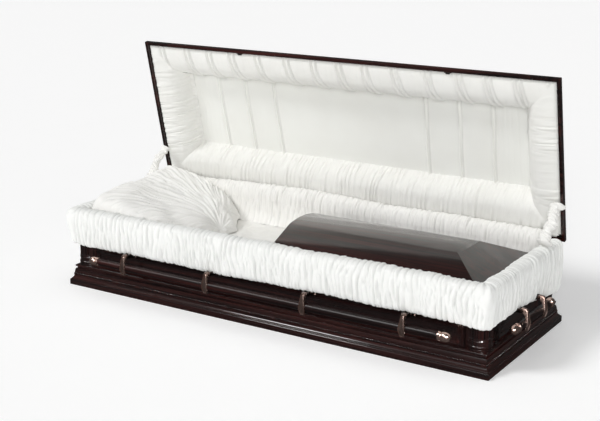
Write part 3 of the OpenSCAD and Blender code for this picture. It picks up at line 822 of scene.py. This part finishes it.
def pillow():
    """A stuffed pillow gathered to a tuft at its foot side."""
    low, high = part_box("pillow")
    count = 210
    x, y, ends, sides = pillow_plan(high.y, low.x, count)
    covers = [np.stack([x, y, low.z + rise], axis=-1) for rise in pillow_heights(x, y, ends, sides)]
    faces = grid_faces(count, count)
    both = np.vstack([faces[:, ::-1], faces + count * count])
    mesh = mesh_of("pillow_cover", covers, both.tolist())
    # painted shade in the creases of the upper cover, none on the lower cover
    sunk = hollows(np.swapaxes(covers[0], 0, 1), (0, 0, 1), 6, 0.0045)
    mark(mesh, "hollow", np.concatenate([sunk.T.ravel(), 0 * sunk.ravel()]))
    outward(mesh)
    piece = new_piece("pillow_cover", mesh, PILLOW_CREPE)
    put(piece, "case", "pillow_cloth", "pillow")
    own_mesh(piece)


# ---- lining of the lid ----

PANEL_IN, PANEL_DEEP = 0.150, 0.102
BORDER_CREST = [(0.034, 0.0065), (0.060, 0.0045), (0.090, 0.006), (0.118, 0.012)]
BORDER_CREST += [(0.142, 0.027), (0.158, 0.047)]
BORDER_EDGE = [(0.0155, 0.0205), (0.020, 0.012)]
REAR_EDGE = [(0.0153, 0.0060), (0.019, 0.0035)]
BORDER_HEM = [(0.169, 0.068), (0.176, 0.086), (0.188, 0.100)]
FRONT_HEM = [(0.166, 0.070), (0.162, 0.090), (0.152, 0.101)]


TUCK_PITCH, TUCK_APART = 0.143, 0.027


def tucks(x, v):
    """Pairs of piped tucks that cross the front border."""
    height = 0.0012 * (gathers(x, v, 0.03, 61) - 0.4)
    lean = x - 0.20 * v + 0.003 * wander(x / 0.05, v / 0.07, 60)
    for k in range(-7, 8):
        middle = TUCK_PITCH * k + 0.012 * math.sin(5.0 * k) + 0.02
        for offset in (-TUCK_APART / 2, TUCK_APART / 2):
            from_tuck = lean - middle - offset - 0.03 * offset * math.sin(3.0 * k)
            height = height + 0.0075 * np.exp(-((from_tuck / 0.0038) ** 2))
            height = height - 0.0042 * np.exp(-(((from_tuck - 0.0095) / 0.004) ** 2))
    return height


def border_folds(side, u, v):
    """How far the cloth of one border length stands proud of its padding."""
    if side == "front":
        return tucks(u, v) + 0.0015 * wander(u / 0.12, v / 0.08, 62)
    if side == "rear":
        lean = u - 0.22 * v + 0.5 * v * v
        pitch = 0.026
        phase = lean / pitch + 0.9 * wander(lean / 0.05, v / 0.30, 63)
        apart = (phase - np.round(phase)) * pitch
        share = 0.55 + 0.45 * wander(lean / 0.035, v / 0.12, 69)
        fine = creases(lean, v, 0.022, 0.09, 64)
        return 0.0062 * share * np.exp(-((apart / 0.0036) ** 2)) + 0.0032 * (fine - 0.4)
    if side == "head":
        return 0.0048 * (creases(u + 0.12 * v, v, 0.026, 0.16, 66) - 0.45)
    bunch = ease(-0.1, 0.5, wander(u / 0.08, v * 0, 67))
    return 0.0052 * (creases(u - 0.1 * v, v, 0.030, 0.2, 68) - 0.45) * (0.3 + 0.7 * bunch)


def lid_border(side):
    """One mitred length of the lid's padded border."""
    along_x = side in ("front", "rear")
    reach, out = (LID_L, LID_W) if along_x else (LID_W, LID_L)
    edge = REAR_EDGE if side == "rear" else BORDER_EDGE
    hem = FRONT_HEM if side == "front" else BORDER_HEM
    section, normal, down = smooth_line(edge + BORDER_CREST + hem, 44)
    steps = 1000 if along_x else 420
    share = np.linspace(-1, 1, steps)[:, None]
    u = share * (reach - np.minimum(section[:, 0], 0.174))[None, :]
    v = np.broadcast_to(down, u.shape)
    at_ends = ease(0, 0.03, (1 - np.abs(share)) * reach + 0 * v)
    lift = border_folds(side, u, v) * at_ends * ease(0, 0.02, v)
    inset = section[:, 0] + lift * normal[:, 0]
    z = LID_Z + section[:, 1] + lift * normal[:, 1]
    away = (out - inset) * (-1 if side in ("front", "head") else 1)
    points = opened(np.stack([u, away, z] if along_x else [away, u, z], axis=-1))
    piece = cloth_piece(f"lid_border_{side}", points, BORDER_CREPE, (0, -1, 0))
    put(piece, "lid", "lining_cloth", f"lid_roll_{side}")
    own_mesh(piece)


PLEATS = (0.396, 0.557, 0.714)


def lid_panel():
    """The lid's centre panel, plain in the middle with three laid pleats towards each end."""
    half_x, half_y = LID_L - PANEL_IN, LID_W - PANEL_IN
    x, y = np.meshgrid(np.linspace(-half_x, half_x, 900), np.linspace(-half_y, half_y, 60), indexing="ij")
    proud = 0.006 * (1 - (x / half_x) ** 4) * (1 - (y / half_y) ** 4)
    proud += 0.0012 * wander(x / 0.06, y / 0.5, 71) * ease(0.3, 0.45, np.abs(x))
    proud += 0.0012 * (gathers(x, y, 0.03, 72, 0.4) - 0.4) * ease(0.70, 0.78, np.abs(x))
    for at in PLEATS:
        lean = np.abs(x) - at + 0.004 * np.sin(y * 9)
        proud += 0.0085 * np.exp(-((lean / 0.0048) ** 2)) - 0.003 * np.exp(-(((lean - 0.011) / 0.005) ** 2))
        proud += 0.003 * ease(0, 0.01, lean) * (1 - ease(0.05, 0.14, lean))
    points = opened(np.stack([x, y, LID_Z + PANEL_DEEP - proud], axis=-1))
    piece = cloth_piece("lid_panel_cloth", points, PANEL_CREPE, (0, -1, 0))
    put(piece, "lid", "lining_cloth", "lid_lining_panel")


# ---- stays ----


def stay_sleeve(name, node, seed):
    """A ruched cloth tube twisted round a folding stay."""
    low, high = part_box(node)
    x, rise = (low.x + high.x) / 2, math.sqrt(0.5)
    radius = (high.x - low.x) / 2
    start = np.array([x, low.y + radius * rise, low.z + radius * rise])
    end = np.array([x, high.y - radius * rise, high.z - radius * rise])
    along = np.linspace(0, 1, 150)[:, None]
    turn = np.linspace(0, 2 * math.pi, 48, endpoint=False)[None, :]
    length = np.linalg.norm(end - start)
    lumps = wander(along * 7, turn * 0 + 1.0, seed) + 0.6 * wander(along * 16, np.cos(turn) + 4.0, seed + 1)
    ruche = creases(along * length + 0.010 * np.cos(turn), np.sin(turn) * 0.5 + 3.0, 0.020, 0.8, seed + 2)
    flare = 1 + 0.35 * np.exp(-((np.minimum(along, 1 - along) / 0.08) ** 2))
    size = radius * (1.05 + 0.30 * lumps + 0.65 * ruche) * flare
    ahead = (end - start) / length
    across = np.cross(ahead, [1.0, 0, 0])
    sway = 0.005 * np.sin(along * 9 + seed)
    centre = start + (end - start) * along + np.array([1.0, 0, 0]) * sway
    centre = centre - across * 0.012 * np.sin(math.pi * along)
    ring = np.cos(turn)[..., None] * np.array([1.0, 0, 0]) * 1.15 + np.sin(turn)[..., None] * across * 0.85
    piece = skin(name, centre[:, None, :] + ring * size[..., None], LINING_CREPE)
    put(piece, "case", "lining_cloth", node)
    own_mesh(piece)


# ---- handles ----

BAR_OUT, BAR_R, TIP_L = 0.055, 0.018, 0.053
BAR_Z = (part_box("front_bar")[0].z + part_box("front_bar")[1].z) / 2
EAR_FACE, STUD_OUT = 0.0038, 0.022
STUD_Z = JOINTS["front_handle_swing"]["pos_m"][2] - 0.009


def to_side(side, points):
    """Points drawn facing -Y, with the wall's face at y = 0, turned to one side of the case."""
    x, y, z = np.moveaxis(np.array(points, float), -1, 0)
    if side == "front":
        return np.stack([x, y + WALL_FACE_Y, z], axis=-1)
    if side == "rear":
        return np.stack([-x, -y - WALL_FACE_Y, z], axis=-1)
    if side == "head":
        return np.stack([y - WALL_FACE_X, -x, z], axis=-1)
    return np.stack([WALL_FACE_X - y, x, z], axis=-1)


def turned(name, side, profile, finish, steps=48):
    """A solid turned about a bar's axis from (place along the bar, radius) points."""
    a = np.linspace(0, 2 * math.pi, steps, endpoint=False)
    rings = [
        np.stack([np.full(steps, x), -BAR_OUT + r * np.cos(a), BAR_Z + r * np.sin(a)], axis=-1)
        for x, r in profile
    ]
    piece = skin(name, to_side(side, rings), finish)
    piece.data.set_sharp_from_angle(angle=math.radians(40))
    return piece


def bar_wood(side, half):
    """The wooden bar, a little fuller in the middle, with a shoulder before each tip."""
    start = half - TIP_L
    profile = [(start + 0.004, 0.0165), (start - 0.001, 0.0165), (start - 0.003, BAR_R - 0.0005)]
    profile += [(start - 0.02, BAR_R - 0.001), (start * 0.5, BAR_R - 0.0003), (0.001, BAR_R)]
    profile = [(-x, r) for x, r in profile] + [(x, r) for x, r in reversed(profile)]
    finish = WOOD_BAR_X if side in ("front", "rear") else WOOD_BAR_Y
    return turned(f"{side}_bar_wood", side, profile, finish)


def bar_tips(side, half):
    """Two cast tips: a collar, a neck and a domed end."""
    start, full = half - TIP_L, 0.0205
    profile = [(start, 0.017), (start, full - 0.0015), (start + 0.0015, full), (start + 0.007, full)]
    profile += [(start + 0.009, full - 0.002), (start + 0.0105, full - 0.0035)]
    profile += [(start + 0.0135, full - 0.0035), (start + 0.015, full - 0.001), (start + 0.017, full)]
    dome = np.linspace(0, math.pi / 2, 12)
    profile += [(half - 0.024 + 0.024 * math.sin(t), max(full * math.cos(t) ** 0.8, 0.0006)) for t in dome]
    tips = [turned("tip", side, [(way * x, r) for x, r in profile], COPPER) for way in (-1, 1)]
    return joined(f"{side}_bar_tips", tips)


ARM_LEVELS = [
    # height, half width, front, back
    (0.2070, 0.0050, 0.0600, 0.0450),
    (0.2055, 0.0062, 0.0645, 0.0420),
    (0.2010, 0.0075, 0.0678, 0.0400),
    (0.1950, 0.0086, 0.0696, 0.0440),
    (0.1800, 0.0107, 0.0728, 0.0600),
    (0.1650, 0.0131, 0.0754, 0.0665),
    (0.1520, 0.0151, 0.0775, 0.0695),
    (0.1440, 0.0155, 0.0780, 0.0700),
    (0.1380, 0.0150, 0.0775, 0.0690),
    (0.1290, 0.0129, 0.0755, 0.0665),
    (0.1200, 0.0104, 0.0728, 0.0640),
    (0.1150, 0.0089, 0.0708, 0.0625),
    (0.1130, 0.0076, 0.0690, 0.0612),
]


def arm(name, side, at):
    """A long lozenge with a bright raised edge round a recessed face dark with patina; its top is painted
    darker as painted shade.
    """
    rings, sunk = [], []
    for k, (z, w, front, back) in enumerate(ARM_LEVELS):
        inside = 0 if k in (0, 1, len(ARM_LEVELS) - 1, len(ARM_LEVELS) - 2) else 1
        deep = 0.0030 * inside
        edge = min(0.0035, w * 0.38)
        face = [(-w, 0.0035, 0), (-w + edge * 0.5, 0.0006, 0), (-w + edge, 0.0, 0)]
        face += [(-w + edge * 1.35, deep, 0.5 * inside), (-w + edge * 2.2, deep * 1.15, 0.5 * inside)]
        face = face + [(-x, y, dark) for x, y, dark in reversed(face)]
        ring = [(-w, -back)] + [(x, -front + y) for x, y, _ in face] + [(w, -back)]
        rings.append([(at + x, y, z) for x, y in ring])
        # painted shade: the top three levels of the arm are painted darker
        shade_paint = 0.6 if k < 3 else 0.0
        sunk += [0.5] + [max(dark, shade_paint) for _, _, dark in face] + [0.5]
    rings = to_side(side, rings)
    piece = skin(name, rings, COPPER)
    order = {tuple(np.round(p, 6)): dark for p, dark in zip(rings.reshape(-1, 3), sunk)}
    values = [order.get(tuple(np.round(v.co, 6)), 0.0) for v in piece.data.vertices]
    mark(piece.data, "sunk", values)
    piece.data.set_sharp_from_angle(angle=math.radians(35))
    return piece


def handles():
    studs = stud_tree(COPPER)
    for side in ("front", "rear", "head", "foot"):
        body = f"{side}_handle"
        low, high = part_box(f"{side}_bar")
        half = high.x if side in ("front", "rear") else high.y
        put(bar_wood(side, half), body, "wood", f"{side}_bar")
        put(bar_tips(side, half), body, "copper_plate")
        arms = [node for node in frame["nodes"] if node.startswith(f"{side}_arm_")]
        for node in sorted(arms):
            low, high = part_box(node)
            middle = (low + high) / 2
            at = {"front": middle.x, "rear": -middle.x, "head": -middle.y, "foot": middle.y}[side]
            put(arm(f"{node}_cast", side, at), body, "copper_plate", node)
            # the ears take the darker copy of the copper as painted shade
            polished(node.replace("arm", "ear"), SHADED_COPPER, "copper_plate", 0.0006)
            places = to_side(side, [(at + x, -EAR_FACE, STUD_Z) for x in (-STUD_OUT, STUD_OUT)])
            facing = to_side(side, [(0, -1, 0)] * 2) - to_side(side, [(0, 0, 0)] * 2)
            name = node.replace("arm", "ear") + "_studs"
            put(studs.grow(name, places.tolist(), [], COPPER, facing, Radius=0.0048), "case", "copper_plate")


# ---- hinge and catches ----


STOP_OUTLINE = [(0.000, 0.000), (0.015, 0.000), (0.018, 0.003), (0.018, 0.007)]
STOP_OUTLINE += [(0.010, 0.009), (0.007, 0.015), (0.001, 0.016), (0.000, 0.012)]


def lid_stops():
    """A small bent plate inside each rear corner of the lid, where a stay is screwed on."""
    side_x, rear_y = LID_L - 0.0165, LID_W - 0.0165
    for name, way in (("lid_stop_head", -1), ("lid_stop_foot", 1)):
        rings = []
        for y in (0.0, 0.0035):
            ring = [(way * (side_x - x), rear_y - z, LID_Z + 0.0003 + y) for x, z in STOP_OUTLINE]
            rings.append(opened(np.array(ring)))
        stop = skin(name, np.array(rings), STEEL, smooth=False)
        put(stop, "lid", "dark_steel")


def steel_parts():
    for node in ("hinge_case_leaf", "hinge_lid_leaf", "catch_head", "catch_foot"):
        polished(node, STEEL, "dark_steel", 0.0004)


# ---- floor, light and camera ----


def lamp(name, toward, power, spread):
    """A wide, far softbox, given by the way that leads to it."""
    light = bpy.data.lights.new(name, "SUN")
    light.energy, light.angle = power, math.radians(spread)
    holder = in_scene(name, light)
    holder.rotation_euler = Vector(toward).to_track_quat("Z", "Y").to_euler()
    return holder


def surround():
    """An even surround: white behind, dim to the cloth and dimmer still to the gloss."""
    world = bpy.data.worlds.new("surround")
    bpy.context.scene.world = world
    world.use_nodes = True
    nodes, links = world.node_tree.nodes, world.node_tree.links
    seen = nodes.new("ShaderNodeLightPath")
    gloss, direct = nodes.new("ShaderNodeMix"), nodes.new("ShaderNodeMix")
    gloss.inputs["A"].default_value, gloss.inputs["B"].default_value = 0.37, 0.08
    links.new(seen.outputs["Is Glossy Ray"], gloss.inputs["Factor"])
    direct.inputs["B"].default_value = 0.93
    links.new(gloss.outputs["Result"], direct.inputs["A"])
    links.new(seen.outputs["Is Camera Ray"], direct.inputs["Factor"])
    nodes["Background"].inputs["Color"].default_value = (1, 1, 1, 1)
    links.new(direct.outputs["Result"], nodes["Background"].inputs["Strength"])


def floor():
    """A pale floor, shown darker in the gloss of the wood than to the eye."""
    pale = Finish("pale_floor", Roughness=0.9, Specular_IOR_Level=0.1, Emission_Strength=0.24)
    pale.shader.inputs["Emission Color"].default_value = (1, 1, 1, 1)
    grain = pale.noise(pale.place(), 3.0)
    material = pale.done(Base_Color=pale.mix(grain, (0.93, 0.93, 0.93), (0.95, 0.95, 0.95)))
    dull = pale.tree.nodes.new("ShaderNodeBsdfDiffuse")
    dull.inputs["Color"].default_value = (0.13, 0.125, 0.125, 1)
    seen = pale.tree.nodes.new("ShaderNodeLightPath")
    both = pale.tree.nodes.new("ShaderNodeMixShader")
    pale.tree.links.new(seen.outputs["Is Glossy Ray"], both.inputs[0])
    pale.tree.links.new(pale.shader.outputs[0], both.inputs[1])
    pale.tree.links.new(dull.outputs[0], both.inputs[2])
    pale.tree.links.new(both.outputs[0], pale.tree.nodes["Material Output"].inputs["Surface"])
    far = 60.0
    corners = [(-far, -far, 0), (far, -far, 0), (far, far, 0), (-far, far, 0)]
    mesh = mesh_of("floor", corners, [(0, 1, 2, 3)])
    new_piece("floor", mesh, material)


def highlight(name, toward, power, spread):
    """A small lamp that only glossy surfaces show."""
    lamp(name, toward, power, spread).visible_diffuse = False


def studio():
    bpy.context.scene.view_settings.view_transform = "Standard"
    surround()
    floor()
    lamp("left_softbox", (-0.46, -0.52, 0.72), 1.30, 16)
    lamp("right_softbox", (0.38, -0.86, 0.30), 0.86, 16)
    highlight("left_highlight", (0.05, -0.80, 0.52), 1.3, 5)
    highlight("right_highlight", (0.62, -0.66, 0.46), 2.2, 5)


def camera():
    view = bpy.data.cameras.new("view")
    view.sensor_width, view.lens = 36.0, 73.08
    view.clip_end = 200
    eye = in_scene("view", view)
    eye.location = (2.7911, -4.3344, 1.8706)
    yaw, pitch, roll = (math.radians(a) for a in (32.97, -15.67, -0.38))
    turn = Euler((0, 0, yaw)).to_matrix() @ Euler((math.pi / 2 + pitch, 0, 0)).to_matrix()
    eye.rotation_euler = (turn @ Euler((0, 0, roll)).to_matrix()).to_euler()
    bpy.context.scene.camera = eye


wooden_parts()
moulding_beads()
throw_cloth()
side_lining()
hinge_apron()
mattress()
pillow()
for side in ("front", "rear", "head", "foot"):
    lid_border(side)
lid_panel()
stay_sleeve("stay_sleeve_head_cloth", "stay_sleeve_head", 81)
stay_sleeve("stay_sleeve_foot_cloth", "stay_sleeve_foot", 85)
handles()
steel_parts()
lid_stops()
studio()
camera()

bpy.context.view_layer.update()
